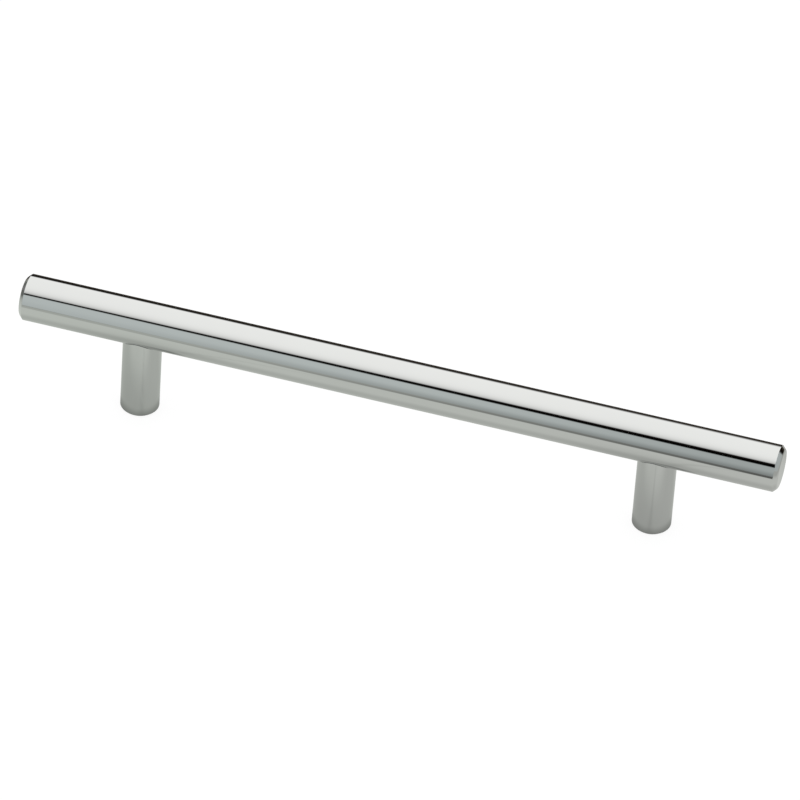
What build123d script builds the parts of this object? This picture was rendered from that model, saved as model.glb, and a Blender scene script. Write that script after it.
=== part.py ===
from build123d import *
import math
import os

# T bar cabinet pull, in millimetres.
# The origin is on the mounting plane, midway between the two feet.
# +X runs along the bar, and +Z from the drawer front to the bar.

# Bar
BAR_OVERHANG = 30.0
BAR_DIAMETER = 11.4
BAR_END_CHAMFER = 1.05
BAR_WALL_ROUNDING = 0.08
BAR_FACE_ROUNDING = 1.0

# Posts
HOLE_SPACING = 128.0
PROJECTION = 31.5
POST_DIAMETER = 9.5
FOOT_CHAMFER = 0.5
FOOT_EDGE_ROUNDING = 0.12
SADDLE_CLEARANCE = 0.02
SADDLE_EDGE_BREAK = 0.06

# Tapped hole in the foot, for the mounting screw
SCREW_THREAD_DIAMETER = 4.0
SCREW_THREAD_DEPTH = 10.0
SCREW_HOLE_COUNTERSINK = 0.4

# Joining studs, half in the post and half in the bar
STUD_THREAD_DIAMETER = 5.0
STUD_LENGTH = 10.0
STUD_THREAD_CLEARANCE = 0.02
STUD_END_CLEARANCE = 0.5
STUD_END_CHAMFER = 0.4
SOCKET_ACROSS_FLATS = 2.5
SOCKET_DEPTH = 2.5

# Drill that bores all the tapped holes
DRILL_POINT_ANGLE = 118.0

# Places that follow from the sizes above
BAR_LENGTH = HOLE_SPACING + 2 * BAR_OVERHANG
BAR_RADIUS = BAR_DIAMETER / 2
POST_RADIUS = POST_DIAMETER / 2
AXIS_HEIGHT = PROJECTION - BAR_RADIUS
SADDLE_RADIUS = BAR_RADIUS + SADDLE_CLEARANCE
SADDLE_BOTTOM = AXIS_HEIGHT - SADDLE_RADIUS
SADDLE_TOP_LIMIT = AXIS_HEIGHT - BAR_RADIUS / 2
STUD_ENGAGEMENT = STUD_LENGTH / 2
STUD_HOLE_DEPTH = STUD_ENGAGEMENT + STUD_END_CLEARANCE


def drilled_hole(diameter, depth, countersink=0.0):
    """Solid of a blind hole that opens at the origin, runs up +Z and ends in the drill's cone."""
    radius = diameter / 2
    point_height = radius / math.tan(math.radians(DRILL_POINT_ANGLE / 2))
    outline = [(0, 0), (radius + countersink, 0)]
    if countersink > 0:
        outline.append((radius, countersink))
    outline.append((radius, depth))
    outline.append((0, depth + point_height))
    profile = Plane.XZ * make_face(Polyline(*outline, close=True))
    return revolve(profile, axis=Axis.Z)


def round_edges(solid):
    """The full circles among the edges of a turned solid."""
    return solid.edges().filter_by(GeomType.CIRCLE).filter_by(lambda edge: edge.is_closed)


def bar_cylinder(radius, length):
    """A plain cylinder on the bar's axis."""
    return Pos(0, 0, AXIS_HEIGHT) * Rot(0, 90, 0) * Cylinder(radius, length)


def make_bar():
    """The turned bar, with chamfered ends and the studs' tapped holes in its underside."""
    bar = bar_cylinder(BAR_RADIUS, BAR_LENGTH)
    bar = chamfer(round_edges(bar), BAR_END_CHAMFER)
    face_rims = round_edges(bar).sort_by(SortBy.RADIUS)[:2]
    bar = fillet(face_rims, BAR_FACE_ROUNDING)
    wall_rims = round_edges(bar).sort_by(SortBy.RADIUS)[-2:]
    bar = fillet(wall_rims, BAR_WALL_ROUNDING)
    for x in (-HOLE_SPACING / 2, HOLE_SPACING / 2):
        hole = drilled_hole(STUD_THREAD_DIAMETER, STUD_HOLE_DEPTH)
        bar -= Pos(x, 0, AXIS_HEIGHT - BAR_RADIUS) * hole
    return bar


def make_post():
    """One turned post on the Z axis, its foot on the mounting plane and its top a saddle."""
    post = Cylinder(POST_RADIUS, SADDLE_TOP_LIMIT, align=(Align.CENTER, Align.CENTER, Align.MIN))
    foot_edge = round_edges(post).sort_by(Axis.Z)[0]
    post = chamfer(foot_edge, FOOT_CHAMFER)
    foot_rims = round_edges(post).sort_by(Axis.Z)[:2]
    post = fillet(foot_rims, FOOT_EDGE_ROUNDING)
    post -= bar_cylinder(SADDLE_RADIUS, BAR_LENGTH)
    wall = post.faces().filter_by(GeomType.CYLINDER).sort_by(SortBy.AREA)[-1]
    saddle_rim = wall.edges().filter_by(lambda edge: edge.bounding_box().min.Z > SADDLE_BOTTOM / 2)
    post = chamfer(saddle_rim, SADDLE_EDGE_BREAK)
    post -= drilled_hole(SCREW_THREAD_DIAMETER, SCREW_THREAD_DEPTH, SCREW_HOLE_COUNTERSINK)
    stud_hole = drilled_hole(STUD_THREAD_DIAMETER, BAR_RADIUS + STUD_HOLE_DEPTH)
    post -= Pos(0, 0, AXIS_HEIGHT) * Rot(180, 0, 0) * stud_hole
    return post


def make_stud():
    """One set screw on the Z axis, centred on the saddle, its hexagon socket facing down."""
    radius = STUD_THREAD_DIAMETER / 2 - STUD_THREAD_CLEARANCE
    stud = Cylinder(radius, STUD_LENGTH)
    stud = chamfer(round_edges(stud), STUD_END_CHAMFER)
    hexagon = RegularPolygon(SOCKET_ACROSS_FLATS / 2, 6, major_radius=False)
    socket = extrude(Pos(0, 0, -STUD_LENGTH / 2) * hexagon, SOCKET_DEPTH)
    return Pos(0, 0, AXIS_HEIGHT - BAR_RADIUS) * (stud - socket)


os.makedirs("parts", exist_ok=True)
post = make_post()
stud = make_stud()
left = Pos(-HOLE_SPACING / 2, 0, 0)
right = Pos(HOLE_SPACING / 2, 0, 0)
export_step(make_bar(), "parts/bar.step")
export_step(left * post, "parts/post_left.step")
export_step(right * post, "parts/post_right.step")
export_step(Compound([left * stud, right * stud]), "parts/joining_studs.step")
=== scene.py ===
import logging
import math
from collections.abc import Callable
from dataclasses import dataclass
from enum import Enum
from typing import Any

import bmesh
import bpy
from mathutils import Matrix, Vector


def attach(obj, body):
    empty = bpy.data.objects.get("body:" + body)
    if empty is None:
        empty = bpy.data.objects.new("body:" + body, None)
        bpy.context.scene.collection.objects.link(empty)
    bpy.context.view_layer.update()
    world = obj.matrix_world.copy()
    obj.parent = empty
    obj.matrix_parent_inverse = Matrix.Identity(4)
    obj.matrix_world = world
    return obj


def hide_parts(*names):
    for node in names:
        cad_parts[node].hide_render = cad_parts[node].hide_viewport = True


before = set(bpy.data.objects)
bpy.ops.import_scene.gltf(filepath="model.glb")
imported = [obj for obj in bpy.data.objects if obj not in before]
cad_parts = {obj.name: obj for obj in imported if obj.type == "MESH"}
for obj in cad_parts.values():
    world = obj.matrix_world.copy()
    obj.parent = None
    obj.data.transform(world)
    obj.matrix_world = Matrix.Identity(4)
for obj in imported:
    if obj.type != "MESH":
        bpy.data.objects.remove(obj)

LOG = logging.getLogger("t_bar_pull")
MM = 0.001
TINY = 1e-6
BODY = "root"

POST_SPACING = 128.0 * MM
HALF_BAR = 94.0 * MM
AXIS_HEIGHT = 25.8 * MM

Colour = tuple[float, float, float]
WHITE = (1.0, 1.0, 1.0, 1.0)


def smooth(start: float, end: float, value: float) -> float:
    """A soft step from 0 at start to 1 at end.

    Args:
        start: Value where the step leaves 0. It may be larger than end.
        end: Value where the step reaches 1.
        value: Where to read the step.

    Returns:
        A number from 0 to 1.
    """
    share = min(1.0, max(0.0, (value - start) / (end - start)))
    return share * share * (3.0 - 2.0 * share)


def mix(first: float, second: float, share: float) -> float:
    """The number that lies a share of the way from first to second."""
    return first + (second - first) * share


def mix_colours(first: Colour, second: Colour, share: float) -> Colour:
    """The colour that lies a share of the way from first to second."""
    return tuple(mix(one, other, share) for one, other in zip(first, second))


def bar_share(place: float) -> float:
    """How far along the bar a place is, from 0 at its left end to 1 at its right."""
    return min(1.0, max(0.0, (place + HALF_BAR) / (2.0 * HALF_BAR)))


def spread_out(start: float, end: float, pitch: float) -> list[float]:
    """Numbers from start up to just before end, one pitch apart."""
    count = round((end - start) / pitch)
    return [start + pitch * step for step in range(count)]


def graded(start: float, *stretches: tuple[float, float]) -> list[float]:
    """Numbers that run through several stretches, each with its own pitch.

    Args:
        start: The first number.
        *stretches: End and pitch of each stretch.

    Returns:
        All the numbers, with the last stretch's end.
    """
    numbers = []
    for end, pitch in stretches:
        numbers += spread_out(start, end, pitch)
        start = end
    return [*numbers, start]


def put_in_scene(name: str, data: bpy.types.ID) -> bpy.types.Object:
    """Makes an object of a mesh, a lamp or a camera, and links it to the scene.

    Args:
        name: Name of the object.
        data: The mesh, lamp or camera.

    Returns:
        The new object.
    """
    made = bpy.data.objects.new(name, data)
    bpy.context.scene.collection.objects.link(made)
    return made


@dataclass(frozen=True)
class Fade:
    """A soft step from 0 to 1.

    Attributes:
        start: Value where it leaves 0. It may be larger than end.
        end: Value where it reaches 1.
    """

    start: float
    end: float

    def at(self, value: float) -> float:
        """The step's height at a value, from 0 to 1."""
        return smooth(self.start, self.end, value)


class Shader:
    """The node tree of one material, built a node at a time."""

    def __init__(self, name: str) -> None:
        """Starts an empty tree in a new material.

        Args:
            name: Name of the material.
        """
        self.material = bpy.data.materials.new(name)
        self.material.use_nodes = True
        self.tree = self.material.node_tree
        self.tree.nodes.clear()

    def add(self, kind: str, inputs: dict[str | int, Any] | None = None,
            **settings: Any) -> bpy.types.Node:
        """Adds one node, with its settings, values and links.

        Args:
            kind: Blender's name of the node type.
            inputs: Values by socket. A socket of another node is linked.
            **settings: Properties of the node itself.

        Returns:
            The new node.
        """
        node = self.tree.nodes.new(kind)
        for name, value in settings.items():
            setattr(node, name, value)
        for socket, value in (inputs or {}).items():
            if isinstance(value, bpy.types.NodeSocket):
                self.tree.links.new(value, node.inputs[socket])
            else:
                node.inputs[socket].default_value = value
        return node

    def noise(self, vector: bpy.types.NodeSocket, scale: float,
              detail: float) -> bpy.types.NodeSocket:
        """A noise pattern.

        Args:
            vector: Coordinates of the pattern.
            scale: Cycles in one unit of the coordinates.
            detail: Number of finer layers.

        Returns:
            The pattern's value, from 0 to 1.
        """
        pattern = {"Vector": vector, "Scale": scale, "Detail": detail, "Roughness": 0.5}
        return self.add("ShaderNodeTexNoise", pattern).outputs["Fac"]

    def spread(self, value: bpy.types.NodeSocket, source: tuple[float, float],
               target: tuple[float, float]) -> bpy.types.NodeSocket:
        """Maps one range of values to another, and holds the result inside it.

        Args:
            value: The value to map.
            source: Lowest and highest value that come in.
            target: What they become.

        Returns:
            The mapped value.
        """
        inputs = {"Value": value, "From Min": source[0], "From Max": source[1],
                  "To Min": target[0], "To Max": target[1]}
        return self.add("ShaderNodeMapRange", inputs).outputs["Result"]

    def blend(self, share: bpy.types.NodeSocket, first: Colour,
              second: Colour) -> bpy.types.NodeSocket:
        """Blends two colours.

        Args:
            share: How much of the second colour shows.
            first: Colour where share is 0.
            second: Colour where share is 1.

        Returns:
            The blended colour.
        """
        node = self.add("ShaderNodeMix", data_type="RGBA")
        self.tree.links.new(share, node.inputs["Factor"])
        node.inputs["A"].default_value = (*first, 1.0)
        node.inputs["B"].default_value = (*second, 1.0)
        return next(o for o in node.outputs if o.type == "RGBA")

    def finish(self, surface: bpy.types.Node) -> bpy.types.Material:
        """Joins a shader node to the material's output.

        Args:
            surface: The node whose first output is the surface.

        Returns:
            The finished material.
        """
        self.add("ShaderNodeOutputMaterial", {"Surface": surface.outputs[0]})
        return self.material


class TurnAxis(Enum):
    """Axis that a piece was turned and polished about."""

    ALONG_BAR = 0
    UPRIGHT = 2


@dataclass(frozen=True)
class PolishedChrome:
    """Bright chrome plate on turned and polished steel.

    Attributes:
        tint: Reflected colour at normal incidence.
        hazed_tint: The same where a little polishing haze is left.
        clear: Roughness of the clearest areas.
        hazed: Roughness of the hazed areas.
        haze_size: Size of the hazed areas.
        line_pitch: Distance between the marks that polishing left round the piece.
        line_stretch: How much longer than wide a mark is.
        line_depth: Depth of these marks.
        wave_size: Size of the plate's soft waves.
        wave_depth: Depth of these waves.
        haze_range: Values of the pattern where the clearest and the most hazed areas are.
    """

    tint: Colour = (0.550, 0.556, 0.552)
    hazed_tint: Colour = (0.538, 0.543, 0.540)
    clear: float = 0.025
    hazed: float = 0.055
    haze_size: float = 9.0 * MM
    line_pitch: float = 0.12 * MM
    line_stretch: float = 40.0
    line_depth: float = 0.00004 * MM
    wave_size: float = 3.0 * MM
    wave_depth: float = 0.0004 * MM
    haze_range: tuple[float, float] = (0.12, 0.42)

    def material(self, name: str, axis: TurnAxis) -> bpy.types.Material:
        """Builds the chrome for a piece turned about one axis.

        Args:
            name: Name of the material.
            axis: Axis that the polishing marks run round.

        Returns:
            The material.
        """
        shader = Shader(name)
        place = shader.add("ShaderNodeTexCoord").outputs["Object"]
        squeeze = [1.0 / (self.line_stretch * self.line_pitch)] * 3
        squeeze[axis.value] = 1.0 / self.line_pitch
        along = shader.add("ShaderNodeMapping", {"Vector": place, "Scale": squeeze})
        lines = shader.noise(along.outputs["Vector"], scale=1.0, detail=3.0)
        haze = shader.noise(place, scale=1.0 / self.haze_size, detail=4.0)
        waves = shader.noise(place, scale=1.0 / self.wave_size, detail=1.0)
        worked = shader.add("ShaderNodeMath", {0: lines, 1: haze}, operation="MULTIPLY")
        roughness = shader.spread(worked.outputs[0], self.haze_range, (self.clear, self.hazed))
        marks = shader.add("ShaderNodeBump", {"Height": lines, "Distance": self.line_depth})
        skin = shader.add("ShaderNodeBump", {"Height": waves, "Distance": self.wave_depth,
                                             "Normal": marks.outputs["Normal"]})
        plate = shader.add("ShaderNodeBsdfPrincipled", {
            "Base Color": shader.blend(haze, self.tint, self.hazed_tint),
            "Metallic": 1.0,
            "Roughness": roughness,
            "Normal": skin.outputs["Normal"],
        })
        return shader.finish(plate)


@dataclass(frozen=True)
class ThreadSteel:
    """Dull hardened steel with a cut thread, lighter at the crests and darker at the roots.

    Attributes:
        root: Colour down in the thread.
        crest: Colour at the crests.
        smooth_cut: Roughness of the crests.
        rough_cut: Roughness of the roots.
        least_crest_share: Share of the way to the crest's colour that shows everywhere.
        grain: Size of the surface's grain.
        grain_depth: Depth of the grain.
    """

    root: Colour = (0.20, 0.20, 0.205)
    crest: Colour = (0.46, 0.46, 0.47)
    smooth_cut: float = 0.24
    rough_cut: float = 0.46
    least_crest_share: float = 0.15
    grain: float = 0.15 * MM
    grain_depth: float = 0.004 * MM

    def material(self, name: str, centre: float, root_radius: float,
                 crest_radius: float) -> bpy.types.Material:
        """Builds the steel for a thread on an upright axis.

        Args:
            name: Name of the material.
            centre: Where the thread's axis crosses the bar's length.
            root_radius: Radius of the thread's roots.
            crest_radius: Radius of its crests.

        Returns:
            The material.
        """
        shader = Shader(name)
        place = shader.add("ShaderNodeTexCoord").outputs["Object"]
        shifted = shader.add("ShaderNodeVectorMath", {0: place, 1: (centre, 0.0, 0.0)},
                             operation="SUBTRACT").outputs["Vector"]
        flat = shader.add("ShaderNodeVectorMath", {0: shifted, 1: (1.0, 1.0, 0.0)},
                          operation="MULTIPLY").outputs["Vector"]
        radius = shader.add("ShaderNodeVectorMath", {0: flat}, operation="LENGTH")
        # Colour and roughness follow the radius: darker and rougher at the roots, lighter and
        # smoother at the crests.
        toward_crest = shader.spread(radius.outputs["Value"], (root_radius, crest_radius), (0.0, 1.0))
        grain = shader.noise(place, scale=1.0 / self.grain, detail=4.0)
        shade = shader.add("ShaderNodeMath", {0: toward_crest, 1: grain, 2: self.least_crest_share},
                           operation="MULTIPLY_ADD", use_clamp=True).outputs[0]
        bump = shader.add("ShaderNodeBump", {"Height": grain, "Distance": self.grain_depth})
        steel = shader.add("ShaderNodeBsdfPrincipled", {
            "Base Color": shader.blend(shade, self.root, self.crest),
            "Metallic": 1.0,
            "Roughness": shader.spread(shade, (0.0, 1.0), (self.rough_cut, self.smooth_cut)),
            "Normal": bump.outputs["Normal"],
        })
        return shader.finish(steel)


@dataclass(frozen=True)
class PaleFloor:
    """Matt white studio paper that is lit almost to white.

    Attributes:
        paper: Colour of the paper.
        lit: Light that the paper gives back evenly.
        fibre: Size of the paper's fibres.
        fibre_shade: Share of the paper's brightness that its fibres have.
        roughness: Roughness of the paper.
    """

    paper: Colour = (0.16, 0.16, 0.16)
    lit: float = 0.875
    fibre: float = 0.8 * MM
    fibre_shade: float = 0.97
    roughness: float = 0.9

    def material(self) -> bpy.types.Material:
        """Builds the paper, which can be seen through from below.

        Returns:
            The material.
        """
        shader = Shader("pale_floor")
        place = shader.add("ShaderNodeTexCoord").outputs["Object"]
        fibres = shader.noise(place, scale=1.0 / self.fibre, detail=2.0)
        darker = tuple(self.fibre_shade * part for part in self.paper)
        paper = shader.add("ShaderNodeBsdfPrincipled", {
            "Base Color": shader.blend(fibres, self.paper, darker),
            "Roughness": self.roughness,
            "Specular IOR Level": 0.0,
            "Emission Color": WHITE,
            "Emission Strength": self.lit,
        })
        below = shader.add("ShaderNodeNewGeometry").outputs["Backfacing"]
        clear = shader.add("ShaderNodeBsdfTransparent")
        both = shader.add("ShaderNodeMixShader",
                          {0: below, 1: paper.outputs[0], 2: clear.outputs[0]})
        return shader.finish(both)


@dataclass(frozen=True)
class CardGlow:
    """Glow of the sheets that only reflections see, read from each sheet's own colour layer.

    Attributes:
        layer: Name of the colour layer.
    """

    layer: str = "glow"

    def material(self) -> bpy.types.Material:
        """Builds the glow.

        Returns:
            The material.
        """
        shader = Shader("card_glow")
        painted = shader.add("ShaderNodeVertexColor", layer_name=self.layer).outputs["Color"]
        glow = shader.add("ShaderNodeEmission", {"Color": painted, "Strength": 1.0})
        material = shader.finish(glow)
        material.cycles.emission_sampling = "NONE"
        return material


class RingSkin:
    """A mesh made of rings that are joined one to the next.

    Attributes:
        SHARP_ANGLE: Angle in degrees from which an edge is shaded as a sharp one.
    """

    SHARP_ANGLE = 32.0

    def __init__(self, segments: int, centre: Vector) -> None:
        """Starts with no rings.

        Args:
            segments: Number of points on each ring.
            centre: Where the mesh's own origin stands.
        """
        self.segments = segments
        self.centre = centre
        self.mesh = bmesh.new()
        self.rings: list[list[bmesh.types.BMVert]] = []

    def ring(self, radius: Callable[[float], float] | float, height: float) -> None:
        """Adds a level ring and joins it to the last.

        Args:
            radius: Radius, or a function of the angle that gives it.
            height: Height of the ring.
        """
        points = []
        for step in range(self.segments):
            angle = 2.0 * math.pi * step / self.segments
            reach = radius(angle) if callable(radius) else radius
            offset = Vector((reach * math.cos(angle), reach * math.sin(angle), height))
            points.append(self.mesh.verts.new(self.centre + offset))
        if self.rings:
            self._join(self.rings[-1], points)
        self.rings.append(points)

    def _join(self, first: list[bmesh.types.BMVert], second: list[bmesh.types.BMVert]) -> None:
        """Fills the strip between two rings with quads.

        Args:
            first: Points of the one ring.
            second: Points of the other.
        """
        for step in range(self.segments):
            after = (step + 1) % self.segments
            self.mesh.faces.new((first[step], first[after], second[after], second[step]))

    def cap(self, ring: int, height: float) -> None:
        """Closes an end ring with a fan to a point on the axis.

        Args:
            ring: Index of the ring.
            height: Height of the point.
        """
        tip = self.mesh.verts.new(self.centre + Vector((0.0, 0.0, height)))
        points = self.rings[ring]
        for step in range(self.segments):
            self.mesh.faces.new((points[step], points[(step + 1) % self.segments], tip))

    def close(self) -> None:
        """Joins the last ring to the first, for a mesh with a hole through it."""
        self._join(self.rings[-1], self.rings[0])

    def piece(self, name: str, material: bpy.types.Material) -> bpy.types.Object:
        """Turns the rings into a smooth piece in the scene.

        Args:
            name: Name of the piece.
            material: Its finish.

        Returns:
            The new object.
        """
        bmesh.ops.recalc_face_normals(self.mesh, faces=self.mesh.faces)
        data = bpy.data.meshes.new(name)
        self.mesh.to_mesh(data)
        self.mesh.free()
        data.materials.append(material)
        data.shade_smooth()
        data.set_sharp_from_angle(angle=math.radians(self.SHARP_ANGLE))
        return put_in_scene(name, data)


@dataclass(frozen=True)
class ThreadForm:
    """A metric thread on an upright axis.

    Attributes:
        pitch: Rise of one turn.
        crest_share: Share of the pitch that the flat crest takes.
        root_share: Share of the pitch that the flat root takes.
        rings_per_pitch: Fineness of the mesh along the axis.
        segments: Fineness of the mesh round the axis.
    """

    pitch: float
    crest_share: float = 0.125
    root_share: float = 0.25
    rings_per_pitch: int = 14
    segments: int = 48

    def height(self, angle: float, level: float) -> float:
        """How far the thread stands up, from 0 at the root to 1 at the crest.

        Args:
            angle: Angle round the axis.
            level: Height along the axis.

        Returns:
            The share of the thread's depth.
        """
        phase = (level / self.pitch - angle / (2.0 * math.pi)) % 1.0
        from_crest = min(phase, 1.0 - phase) - self.crest_share / 2.0
        flank = (1.0 - self.crest_share - self.root_share) / 2.0
        return 1.0 - min(1.0, max(0.0, from_crest / flank))

    def levels(self, bottom: float, top: float) -> list[float]:
        """Heights of the rings that carry the thread, evenly spaced from bottom to top."""
        count = max(2, round((top - bottom) / self.pitch * self.rings_per_pitch))
        return [mix(bottom, top, step / count) for step in range(count + 1)]


@dataclass(frozen=True)
class Bar:
    """The straight bar that the hand takes hold of. Its solid comes from the frame.

    Attributes:
        node: Name of the solid.
        finish: Its plating.
    """

    node: str = "bar"
    finish: PolishedChrome = PolishedChrome()

    def build(self) -> list[bpy.types.Object]:
        """Plates the bar in chrome, polished round its length.

        Returns:
            The one piece that it is.
        """
        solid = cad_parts[self.node]
        solid.material_slots[0].material = self.finish.material("bar_chrome", TurnAxis.ALONG_BAR)
        return [solid]


class Side(Enum):
    """The two posts, by the direction they stand in from the middle."""

    LEFT = -1
    RIGHT = 1

    @property
    def label(self) -> str:
        """The word that ends the names of this side's pieces."""
        return self.name.lower()

    def place(self, spacing: float) -> float:
        """Where this side's post stands along the bar, by the spacing of the two."""
        return self.value * spacing / 2.0


@dataclass(frozen=True)
class Post:
    """One round post with a tapped foot. Its solid comes from the frame.

    Attributes:
        side: Which post it is.
        spacing: Distance between the two posts.
        bore_radius: Radius of the bore that the solid leaves for the thread.
        wall_overlap: How far the thread's back is let into the wall of that bore.
        root_radius: Radius of the thread's roots.
        crest_radius: Radius of its crests, the size of the tapping drill.
        thread_start: Height where the countersink ends and the thread starts.
        thread_end: Height where the thread runs out.
        thread: Form of the thread.
        finish: Plating of the post.
        cut: Finish inside the thread.
    """

    side: Side
    spacing: float = POST_SPACING
    bore_radius: float = 2.0 * MM
    wall_overlap: float = 0.04 * MM
    root_radius: float = 1.985 * MM
    crest_radius: float = 1.65 * MM
    thread_start: float = 0.4 * MM
    thread_end: float = 9.6 * MM
    thread: ThreadForm = ThreadForm(pitch=0.7 * MM)
    finish: PolishedChrome = PolishedChrome()
    cut: ThreadSteel = ThreadSteel()

    def dress(self) -> list[bpy.types.Object]:
        """Plates the post in chrome, polished round its height.

        Returns:
            The post.
        """
        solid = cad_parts[f"post_{self.side.label}"]
        name = f"post_{self.side.label}_chrome"
        solid.material_slots[0].material = self.finish.material(name, TurnAxis.UPRIGHT)
        return [solid]

    def outline(self, level: float) -> Callable[[float], float]:
        """The threaded hole's outline at a height.

        Args:
            level: Height above the foot.

        Returns:
            A function that gives the outline's radius at an angle.
        """
        grown = smooth(self.thread_start, self.thread_start + self.thread.pitch, level)
        fading = smooth(self.thread_end, self.thread_end - self.thread.pitch, level)
        stand = (self.root_radius - self.crest_radius) * grown * fading
        return lambda angle: self.root_radius - stand * self.thread.height(angle, level)

    def cut_thread(self) -> list[bpy.types.Object]:
        """Cuts the mounting screw's thread into the foot.

        Returns:
            The piece that stands for the thread.
        """
        name = f"foot_thread_{self.side.label}"
        place = self.side.place(self.spacing)
        back = self.bore_radius + self.wall_overlap
        skin = RingSkin(self.thread.segments, Vector((place, 0.0, 0.0)))
        skin.ring(back, self.thread_end)
        skin.ring(back, self.thread_start)
        for level in self.thread.levels(self.thread_start, self.thread_end):
            skin.ring(self.outline(level), level)
        skin.close()
        steel = self.cut.material(f"{name}_steel", place, self.root_radius, self.crest_radius)
        piece = skin.piece(name, steel)
        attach(piece, BODY)
        return [piece]

    def build(self) -> list[bpy.types.Object]:
        """Makes and dresses all of the post, and returns its pieces."""
        return self.dress() + self.cut_thread()


@dataclass(frozen=True)
class JoiningStud:
    """A hexagon socket set screw that holds a post to the bar.

    Attributes:
        side: Which post it is in.
        spacing: Distance between the two posts.
        bottom: Height of its lower end.
        length: Its length.
        crest_radius: Radius of the thread's crests.
        root_radius: Radius of its roots.
        end_chamfer: Size of the chamfers at its two ends.
        socket_flats: Distance across the socket's flats.
        socket_depth: Depth of the socket.
        socket_chamfer: Size of the chamfer round the socket's mouth.
        drill_depth: Depth of the cone at the bottom of the socket.
        cup_radius: Radius of the cup at its upper end.
        cup_depth: Depth of the cup.
        thread: Form of the thread.
        finish: Its steel.
    """

    side: Side
    spacing: float = POST_SPACING
    bottom: float = 15.1 * MM
    length: float = 10.0 * MM
    crest_radius: float = 2.478 * MM
    root_radius: float = 2.0 * MM
    end_chamfer: float = 0.5 * MM
    socket_flats: float = 2.5 * MM
    socket_depth: float = 2.5 * MM
    socket_chamfer: float = 0.12 * MM
    drill_depth: float = 0.5 * MM
    cup_radius: float = 1.25 * MM
    cup_depth: float = 0.6 * MM
    thread: ThreadForm = ThreadForm(pitch=0.8 * MM)
    finish: ThreadSteel = ThreadSteel()

    def hexagon(self, growth: float) -> Callable[[float], float]:
        """The socket's outline.

        Args:
            growth: How far the outline stands outside the true socket.

        Returns:
            A function that gives the outline's radius at an angle.
        """
        sixth = math.pi / 3.0
        inside = self.socket_flats / 2.0 + growth
        return lambda angle: inside / math.cos(angle % sixth - sixth / 2.0)

    def outline(self, level: float) -> Callable[[float], float]:
        """The screw's outline at a level above its lower end.

        Args:
            level: Height above the lower end.

        Returns:
            A function that gives the outline's radius at an angle.
        """
        to_end = min(level, self.length - level)
        limit = self.crest_radius - max(0.0, self.end_chamfer - to_end)
        depth = self.crest_radius - self.root_radius
        return lambda angle: min(limit, self.root_radius + depth * self.thread.height(angle, level))

    def build(self) -> list[bpy.types.Object]:
        """Makes the screw.

        Returns:
            The one piece that it is.
        """
        place = self.side.place(self.spacing)
        skin = RingSkin(self.thread.segments, Vector((place, 0.0, self.bottom)))
        skin.ring(self.hexagon(0.0), self.socket_depth)
        skin.ring(self.hexagon(0.0), self.socket_chamfer)
        skin.ring(self.hexagon(self.socket_chamfer), 0.0)
        for level in self.thread.levels(0.0, self.length):
            skin.ring(self.outline(level), level)
        skin.ring(self.cup_radius, self.length)
        skin.cap(0, self.socket_depth + self.drill_depth)
        skin.cap(-1, self.length - self.cup_depth)
        steel = self.finish.material(f"stud_{self.side.label}_steel", place,
                                     self.root_radius, self.crest_radius)
        piece = skin.piece(f"joining_stud_{self.side.label}", steel)
        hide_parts("joining_studs")
        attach(piece, BODY)
        return [piece]


@dataclass(frozen=True)
class PhotoCamera:
    """The camera that took the photograph.

    Attributes:
        azimuth: Turn of the camera round the pull, in degrees.
        elevation: Its height above the horizon, in degrees.
        roll: Its turn about its own axis, in degrees.
        distance: Distance from the middle of the bar.
        pivot_height: Height of the middle of the bar.
        aim_right: How far the camera stands to the left of the middle of the bar.
        aim_up: How far it stands below it.
        focal_pixels: Focal length in pixels of the photograph.
        image_width: Width of the photograph in pixels.
        sensor_width: Sensor width in millimetres.
        nearest: Nearest distance that it shows.
        farthest: Farthest distance that it shows.
    """

    azimuth: float = 13.294
    elevation: float = 40.928
    roll: float = 4.119
    distance: float = 1996.4 * MM
    pivot_height: float = AXIS_HEIGHT
    aim_right: float = -0.006 * MM
    aim_up: float = 4.290 * MM
    focal_pixels: float = 8383.5
    image_width: float = 800.0
    sensor_width: float = 36.0
    nearest: float = 0.1
    farthest: float = 30.0

    def place(self) -> bpy.types.Object:
        """Sets up the camera and makes it the scene's own.

        Returns:
            The camera object.
        """
        turn, rise, roll = (math.radians(a) for a in (self.azimuth, self.elevation, self.roll))
        back = Vector((math.sin(turn) * math.cos(rise), -math.cos(turn) * math.cos(rise),
                       math.sin(rise)))
        level = (-back).cross(Vector((0.0, 0.0, 1.0))).normalized()
        upright = level.cross(-back)
        right = math.cos(roll) * level + math.sin(roll) * upright
        up = math.cos(roll) * upright - math.sin(roll) * level
        spot = back * self.distance - right * self.aim_right - up * self.aim_up
        spot.z += self.pivot_height
        data = bpy.data.cameras.new("photo_camera")
        data.sensor_width = self.sensor_width
        data.lens = self.focal_pixels / self.image_width * self.sensor_width
        data.clip_start = self.nearest
        data.clip_end = self.farthest
        camera = put_in_scene("photo_camera", data)
        turned = Matrix((right, up, back)).transposed().to_4x4()
        camera.matrix_world = Matrix.Translation(spot) @ turned
        bpy.context.scene.camera = camera
        return camera


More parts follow.
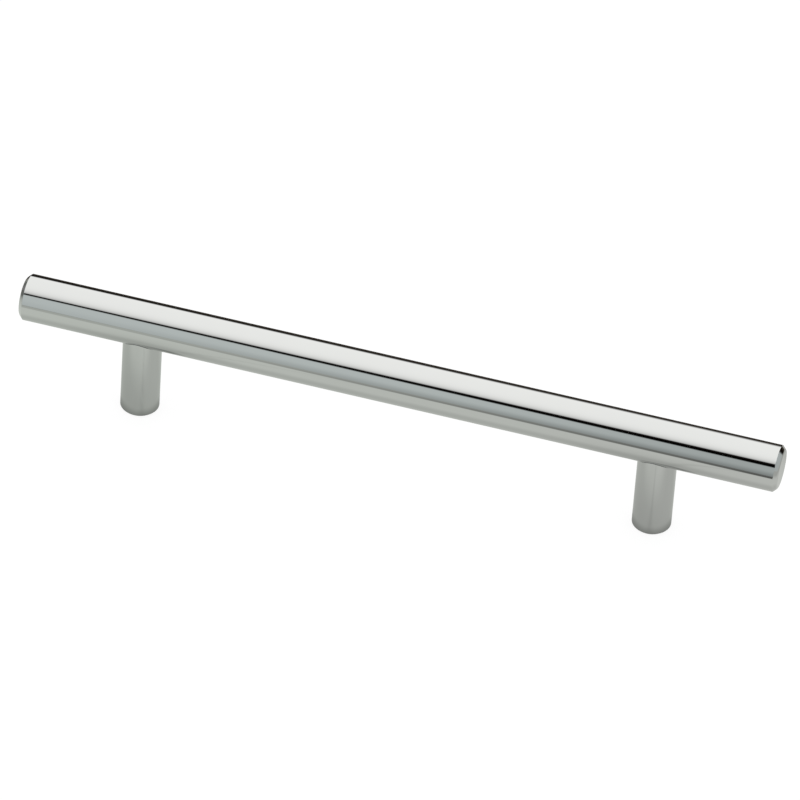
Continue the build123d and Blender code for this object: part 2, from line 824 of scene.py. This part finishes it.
@dataclass(frozen=True)
class GlowSheet:
    """A sheet of quads that glows, and that only reflections see.

    Attributes:
        name: Name of the sheet.
        rows: Points of the sheet, a row at a time.
        glow: Function that gives the glow at a point.
    """

    name: str
    rows: list[list[Vector]]
    glow: Callable[[Vector], Colour]

    def hang(self) -> None:
        """Puts the sheet in the scene."""
        width = len(self.rows[0])
        points = [point for row in self.rows for point in row]
        corners = [row * width + column
                   for row in range(len(self.rows) - 1) for column in range(width - 1)]
        faces = [(spot, spot + 1, spot + width + 1, spot + width) for spot in corners]
        data = bpy.data.meshes.new(self.name)
        data.from_pydata(points, [], faces)
        layer = data.color_attributes.new(CardGlow.layer, "FLOAT_COLOR", "POINT")
        for index, point in enumerate(points):
            layer.data[index].color = (*self.glow(point), 1.0)
        data.materials.append(CardGlow().material())
        sheet = put_in_scene(self.name, data)
        sheet.visible_camera = False
        sheet.visible_diffuse = False
        sheet.visible_transmission = False
        sheet.visible_volume_scatter = False
        sheet.visible_shadow = False


@dataclass(frozen=True)
class Along:
    """A number that changes along the bar.

    Attributes:
        left: The number where the bar's left end reflects.
        right: The number where its right end does.
        bend: 1 for an even change, and more for one that comes late.
    """

    left: float
    right: float
    bend: float = 1.0

    def at(self, share: float) -> float:
        """The number at a share of the way from left to right."""
        return mix(self.left, self.right, share ** self.bend)


@dataclass(frozen=True)
class ArcCard:
    """A card bent round the bar's axis, with slanting edges and a glow that varies over it.

    Angles are round the bar's axis, in degrees: 0 is level with it in front, and 90 is overhead.

    Attributes:
        name: Name of the card.
        colour: Glow of the card.
        low_edge: Angle of the lower edge.
        low_fade: Angle over which the glow comes up at that edge.
        high_edge: Angle of the upper edge.
        high_fade: The same at that edge.
        low_level: Share of the glow near the lower edge.
        high_level: Share of the glow from level_reach upwards.
        level_reach: Share of the card's width over which one level becomes the other.
        shoulder: Share of the glow that is missing at the lower edge.
        shoulder_reach: Angle over which it comes back.
        radius: Distance from the bar's axis.
        left_end: Where the card ends at the left.
        right_end: Where it ends at the right.
        lean: How far reflections run to the left for each unit of distance.
        row_pitch: Angle from one row of the sheet's points to the next.
        columns: Start, end and pitch of the close columns of points.
    """

    name: str
    colour: Colour
    low_edge: Along
    low_fade: Along
    high_edge: Along
    high_fade: Along
    low_level: Along = Along(1.0, 1.0)
    high_level: Along = Along(1.0, 1.0)
    level_reach: float = 1.0
    shoulder: float = 0.0
    shoulder_reach: float = 10.5
    radius: float = 400.0 * MM
    left_end: float = -700.0 * MM
    right_end: float = 700.0 * MM
    lean: float = 0.173
    row_pitch: float = 0.5
    columns: tuple[float, float, float] = (-240.0 * MM, 180.0 * MM, 20.0 * MM)

    def glow(self, point: Vector) -> Colour:
        """The card's glow at one of its points.

        Args:
            point: A point of the card.

        Returns:
            The glow's colour.
        """
        share = bar_share(point.x + self.lean * self.radius)
        angle = math.degrees(math.atan2(point.z - AXIS_HEIGHT, -point.y))
        low, low_half = self.low_edge.at(share), self.low_fade.at(share) / 2.0
        high, high_half = self.high_edge.at(share), self.high_fade.at(share) / 2.0
        shown = smooth(low - low_half, low + low_half, angle)
        shown *= smooth(high + high_half, high - high_half, angle)
        rise = smooth(0.0, self.level_reach, (angle - low) / (high - low))
        level = mix(self.low_level.at(share), self.high_level.at(share), rise)
        level *= 1.0 - self.shoulder * math.exp(-max(0.0, angle - low) / self.shoulder_reach)
        return tuple(part * level * shown for part in self.colour)

    def build(self) -> None:
        """Makes the card, as far as its fades reach."""
        ends = (0.0, 1.0)
        lowest = min(self.low_edge.at(end) - self.low_fade.at(end) / 2.0 for end in ends)
        highest = max(self.high_edge.at(end) + self.high_fade.at(end) / 2.0 for end in ends)
        steps = round((highest - lowest) / self.row_pitch)
        places = [self.left_end, *spread_out(*self.columns), self.right_end]
        rows = []
        for step in range(steps + 1):
            angle = math.radians(mix(lowest, highest, step / steps))
            across = -self.radius * math.cos(angle)
            height = AXIS_HEIGHT + self.radius * math.sin(angle)
            rows.append([Vector((place, across, height)) for place in places])
        GlowSheet(self.name, rows, self.glow).hang()


@dataclass(frozen=True)
class FootShade:
    """Painted shade in the table's glow round the foot of each post.

    Attributes:
        depth: Share of the glow that this painted shade takes away round a post's foot.
        reach: Distance over which that dies away, to the front and the back.
        squeeze: How much sooner it dies away along the bar.
        shift: Where its middle lies, to the left of the foot if below 0.
        contact_depth: Share that is lost right at the foot, a painted contact shadow.
        contact: Fade of that with the distance from the post's axis.
        streak_depth: Share that is lost in a faint painted dark streak in front of the post.
        streak_half: Half of the streak's width.
        left_turn: Turn of the left post's streak towards the right, in degrees.
        right_turn: The same for the right post.
        spacing: Distance between the two posts.
    """

    depth: float = 0.16
    reach: float = 32.0 * MM
    squeeze: float = 2.0
    shift: float = -5.0 * MM
    contact_depth: float = 0.38
    contact: Fade = Fade(8.6 * MM, 5.0 * MM)
    streak_depth: float = 0.10
    streak_half: float = 1.4 * MM
    left_turn: float = 25.0
    right_turn: float = 6.0
    spacing: float = POST_SPACING

    def streak(self, along: float, behind: float, turn: float) -> float:
        """How deep a place lies in the painted dark streak in front of a post.

        Args:
            along: Distance to the right of the post's axis.
            behind: Distance behind it.
            turn: The streak's turn, in degrees.

        Returns:
            A share from 0 to 1.
        """
        angle = math.radians(turn)
        onward = along * math.sin(angle) - behind * math.cos(angle)
        across = along * math.cos(angle) + behind * math.sin(angle)
        return math.exp(-(across / self.streak_half) ** 2) if onward > 0.0 else 0.0

    def light(self, point: Vector) -> float:
        """Share of the glow that is left at a point of the table.

        Args:
            point: The point.

        Returns:
            A share from 0 to 1.
        """
        along = point.x - math.copysign(self.spacing / 2.0, point.x)
        turn = self.left_turn if point.x < 0.0 else self.right_turn
        stretched = math.hypot(self.squeeze * (along - self.shift), point.y)
        # Painted shade round the foot, a painted dark streak and a painted contact shadow.
        light = 1.0 - self.depth * math.exp(-(stretched / self.reach) ** 2)
        light *= 1.0 - self.streak_depth * self.streak(along, point.y, turn)
        return light * (1.0 - self.contact_depth * self.contact.at(math.hypot(along, point.y)))


@dataclass(frozen=True)
class DarkBack:
    """Painted darkness in the table's glow behind the pull.

    Attributes:
        depth: Share of the glow that is lost where it is darkest.
        warmth: What is left of each colour there.
        reach: Fade with the distance behind the bar.
        left: Fade with the distance to the left.
        left_slant: How fast that fade moves to the left with the distance behind.
        right: Fade with the distance to the right, into the painted dark corner there.
        corner_reach: The corner's fade with the distance behind the bar.
        corner_slant: How fast its right side runs backwards past the bar's end.
        corner_side: Fade with the distance inside that right side.
    """

    depth: float = 0.92
    warmth: Colour = (1.0, 0.82, 0.68)
    reach: Fade = Fade(30.0 * MM, 37.0 * MM)
    left: Fade = Fade(190.0 * MM, 130.0 * MM)
    left_slant: float = 0.2
    right: Fade = Fade(94.5 * MM, 100.0 * MM)
    corner_reach: Fade = Fade(72.0 * MM, 130.0 * MM)
    corner_slant: float = 0.95
    corner_side: Fade = Fade(0.0, 30.0 * MM)

    def darkness(self, point: Vector) -> float:
        """How dark the table's glow is painted at a point.

        Args:
            point: The point.

        Returns:
            A share from 0 to 1.
        """
        # Painted darkness behind the pull, and in a painted dark corner past the bar's right end.
        leftwards = -point.x - self.left_slant * max(0.0, point.y)
        back = self.reach.at(point.y) * self.left.at(leftwards)
        inside = point.y - self.corner_slant * (point.x - HALF_BAR)
        corner = self.corner_reach.at(point.y) * self.corner_side.at(inside)
        return mix(back, corner, self.right.at(point.x))


@dataclass(frozen=True)
class TableTop:
    """The table that the pull stands on, as its chrome sees it, with painted shade in its glow.

    Attributes:
        left_colour: Glow of the bare table at the left.
        right_colour: Glow of the bare table at the right.
        under_depth: Share of the glow taken away below the bar, a painted shadow of the bar.
        under: Fade of that with the distance from the bar's axis.
        under_shift: Where the middle of that shade lies, behind the bar if above 0.
        feet: Painted shade round the feet.
        front_depth: Share that is lost far in front, as painted shade.
        front: Fade of that with the distance in front.
        front_end: Its fade with the distance to the right.
        near_depth: Share that is lost close behind the bar, as painted shade.
        near: Fade of that with the distance behind.
        near_end: Its fade with the distance to the right.
        back: The painted darkness behind.
        left_depth: Share that is lost at the left, as painted shade.
        left: Fade of that with the distance to the left.
        right_depth: Share that is lost at the right, as painted shade.
        right: Fade of that with the distance to the right.
        height: Height of the sheet.
        first_row: Place of the sheet's front row of points, in millimetres.
        rows: End and pitch of each stretch of rows behind it, in millimetres.
        first_column: Place of its left column of points, in millimetres.
        left_columns: The same as rows, for the columns left of the posts.
        right_columns: The same, for the columns right of the posts.
        foot_zone: How far the closest columns reach from a post's axis, in millimetres.
        foot_pitch: Pitch of these, in millimetres.
        bar_pitch: Pitch of the columns between them, in millimetres.
    """

    left_colour: Colour = (0.81, 0.85, 0.79)
    right_colour: Colour = (0.80, 0.815, 0.775)
    under_depth: float = 0.20
    under: Fade = Fade(27.0 * MM, 8.0 * MM)
    under_shift: float = -1.5 * MM
    feet: FootShade = FootShade()
    front_depth: Along = Along(0.26, 0.88)
    front: Fade = Fade(84.0 * MM, 116.0 * MM)
    front_end: Fade = Fade(300.0 * MM, 200.0 * MM)
    near_depth: float = 0.28
    near: Fade = Fade(0.0, 40.0 * MM)
    near_end: Fade = Fade(250.0 * MM, 130.0 * MM)
    back: DarkBack = DarkBack()
    left_depth: float = 0.66
    left: Fade = Fade(115.0 * MM, 330.0 * MM)
    right_depth: float = 0.27
    right: Fade = Fade(130.0 * MM, 205.0 * MM)
    height: float = -0.2 * MM
    first_row: float = -360.0
    rows: tuple[tuple[float, float], ...] = (
        (-130.0, 230.0), (-8.0, 4.0), (8.0, 0.5), (80.0, 2.0), (200.0, 10.0), (500.0, 150.0))
    first_column: float = -700.0
    left_columns: tuple[tuple[float, float], ...] = (
        (-500.0, 200.0), (-400.0, 100.0), (-150.0, 25.0))
    right_columns: tuple[tuple[float, float], ...] = ((200.0, 2.0), (700.0, 50.0))
    foot_zone: float = 8.0
    foot_pitch: float = 0.5
    bar_pitch: float = 2.0

    def glow(self, point: Vector) -> Colour:
        """The table's glow at one of its points, with its painted shade.

        Args:
            point: A point of the table.

        Returns:
            The glow's colour.
        """
        share = bar_share(point.x)
        front = self.front.at(-point.y) * self.front_end.at(point.x)
        near = self.near.at(point.y) * self.near_end.at(point.x)
        past_end = max(0.0, abs(point.x) - HALF_BAR)
        from_bar = math.hypot(point.y - self.under_shift, past_end)
        dark = self.back.darkness(point)
        # Painted shade: the bar's painted shadow, painted shade round the feet, in front, behind
        # and at the sides.
        level = 1.0 - self.under_depth * self.under.at(from_bar)
        level *= self.feet.light(point)
        level *= 1.0 - self.front_depth.at(share) * front
        level *= 1.0 - self.near_depth * near
        level *= 1.0 - self.back.depth * dark
        level *= 1.0 - self.left_depth * self.left.at(-point.x)
        level *= 1.0 - self.right_depth * self.right.at(point.x)
        bare = mix_colours(self.left_colour, self.right_colour, share)
        return tuple(part * level * mix(1.0, warm, dark)
                     for part, warm in zip(bare, self.back.warmth))

    def build(self) -> None:
        """Makes the table's sheet, finest round the feet and coarse outside."""
        foot = self.feet.spacing / 2.0 / MM
        stretches = []
        for middle in (-foot, foot):
            stretches.append((middle - self.foot_zone, self.bar_pitch))
            stretches.append((middle + self.foot_zone, self.foot_pitch))
        across = graded(self.first_row, *self.rows)
        along = graded(self.first_column, *self.left_columns, *stretches, *self.right_columns)
        rows = [[Vector((x * MM, y * MM, self.height)) for x in along] for y in across]
        GlowSheet("table_reflection", rows, self.glow).hang()


@dataclass(frozen=True)
class SideWall:
    """A bright side of the room, as the chrome sees it.

    Attributes:
        low: Glow near the horizon.
        high: Glow higher up.
        rise: Fade from the one to the other with the upward share of a direction.
        front: Fade of the whole side with the forward share of a direction's level part.
        back: Its fade with the backward share of that.
    """

    low: Colour
    high: Colour
    rise: Fade
    front: Fade
    back: Fade

    def glow(self, upward: float) -> Colour:
        """The side's glow, by the upward share of a direction."""
        return mix_colours(self.low, self.high, self.rise.at(upward))

    def shown(self, backward: float) -> float:
        """How much of the side shows, by the backward share of a direction's level part."""
        return self.front.at(-backward) * self.back.at(backward)


@dataclass(frozen=True)
class RoomDome:
    """The rest of the room, as the chrome sees it.

    Attributes:
        dark_front: Glow of the dark room in front of the pull and beside it.
        dark_back: Glow of the dark room behind it.
        behind: Fade from the one to the other with the backward share of a direction.
        right: The wall at the right.
        left: The left side.
        radius: Radius of the dome.
        rises: Steps of the dome's mesh from bottom to top.
        turns: Steps of it all the way round.
    """

    dark_front: Colour = (0.010, 0.007, 0.006)
    dark_back: Colour = (0.070, 0.055, 0.046)
    behind: Fade = Fade(0.95, 0.99)
    right: SideWall = SideWall(
        low=(0.62, 0.66, 0.65), high=(0.80, 0.88, 0.92),
        rise=Fade(0.20, 0.55), front=Fade(0.66, 0.50), back=Fade(0.67, 0.64))
    left: SideWall = SideWall(
        low=(0.28, 0.275, 0.28), high=(0.80, 0.85, 0.88),
        rise=Fade(0.12, 0.26), front=Fade(0.66, 0.40), back=Fade(0.85, 0.70))
    radius: float = 1100.0 * MM
    rises: int = 60
    turns: int = 96

    def glow(self, point: Vector) -> Colour:
        """The room's glow in the direction of a point.

        Args:
            point: A point of the dome.

        Returns:
            The glow's colour.
        """
        way = point.normalized()
        backward = way.y / max(TINY, math.hypot(way.x, way.y))
        side = self.right if way.x > 0.0 else self.left
        dark = mix_colours(self.dark_front, self.dark_back, self.behind.at(way.y))
        return mix_colours(dark, side.glow(way.z), side.shown(backward))

    def point(self, rise: float, turn: float) -> Vector:
        """The dome's point at an angle above the horizon and one round from the back."""
        out = math.cos(rise)
        return self.radius * Vector((out * math.sin(turn), out * math.cos(turn), math.sin(rise)))

    def build(self) -> None:
        """Makes the dome."""
        rises = [math.pi * (step / self.rises - 0.5) for step in range(self.rises + 1)]
        turns = [2.0 * math.pi * step / self.turns for step in range(self.turns + 1)]
        rows = [[self.point(rise, turn) for turn in turns] for rise in rises]
        GlowSheet("room_reflection", rows, self.glow).hang()


@dataclass(frozen=True)
class Studio:
    """The plain pale studio: floor, daylight, a soft lamp and the cards that the chrome reflects.

    Attributes:
        floor_half: Half of the floor's width.
        daylight: Brightness of the surroundings.
        lamp_power: Power of the soft lamp overhead, in watts.
        lamp_height: Its height.
        lamp_width: Its width.
        overhead: The bright card over the pull.
        front: The dimmer card in front of it.
        table: The table that it stands on, with painted shade in its glow.
        room: The rest of the room.
    """

    floor_half: float = 12.0
    daylight: float = 1.0
    lamp_power: float = 1.2
    lamp_height: float = 1.1
    lamp_width: float = 1.2
    overhead: ArcCard = ArcCard(
        "overhead_reflection", (1.455, 1.455, 1.43),
        low_edge=Along(55.2, 57.6, 1.5), low_fade=Along(3.0, 4.0),
        high_edge=Along(164.5, 169.0, 2.2), high_fade=Along(12.0, 20.0),
        shoulder=0.52, right_end=200.0 * MM)
    front: ArcCard = ArcCard(
        "front_reflection", (0.74, 0.80, 0.79),
        low_edge=Along(-4.0, -7.0), low_fade=Along(3.0, 5.0),
        high_edge=Along(47.6, 40.6), high_fade=Along(5.0, 5.0),
        low_level=Along(0.95, 0.47), high_level=Along(1.04, 0.79, 3.0),
        level_reach=0.65, radius=350.0 * MM)
    table: TableTop = TableTop()
    room: RoomDome = RoomDome()

    def lay_floor(self) -> None:
        """Lays the floor, which reflections don't see."""
        data = bpy.data.meshes.new("studio_floor")
        half = self.floor_half
        corners = [(-half, -half, 0.0), (half, -half, 0.0), (half, half, 0.0), (-half, half, 0.0)]
        data.from_pydata(corners, [], [(0, 1, 2, 3)])
        data.materials.append(PaleFloor().material())
        floor = put_in_scene("studio_floor", data)
        floor.visible_glossy = False

    def light(self) -> None:
        """Sets the daylight and hangs the soft lamp."""
        world = bpy.data.worlds.new("studio_daylight")
        world.use_nodes = True
        background = world.node_tree.nodes["Background"]
        background.inputs["Color"].default_value = WHITE
        background.inputs["Strength"].default_value = self.daylight
        world.cycles_visibility.glossy = False
        bpy.context.scene.world = world
        data = bpy.data.lights.new("soft_lamp", "AREA")
        data.energy = self.lamp_power
        data.size = self.lamp_width
        lamp = put_in_scene("soft_lamp", data)
        lamp.location = (0.0, 0.0, self.lamp_height)
        lamp.visible_camera = False
        lamp.visible_glossy = False

    def build(self) -> None:
        """Sets up all of the studio, with colours shown as they are lit."""
        bpy.context.scene.view_settings.view_transform = "Standard"
        self.lay_floor()
        self.light()
        for reflected in (self.overhead, self.front, self.table, self.room):
            reflected.build()


def main() -> None:
    """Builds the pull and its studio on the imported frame."""
    logging.basicConfig(level=logging.INFO, format="%(message)s")
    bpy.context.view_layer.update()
    posts = [Post(side) for side in Side]
    studs = [JoiningStud(side) for side in Side]
    for part in (Bar(), *posts, *studs):
        for piece in part.build():
            LOG.info("%s: %d faces", piece.name, len(piece.data.polygons))
    PhotoCamera().place()
    Studio().build()


if __name__ == "__main__":
    main()
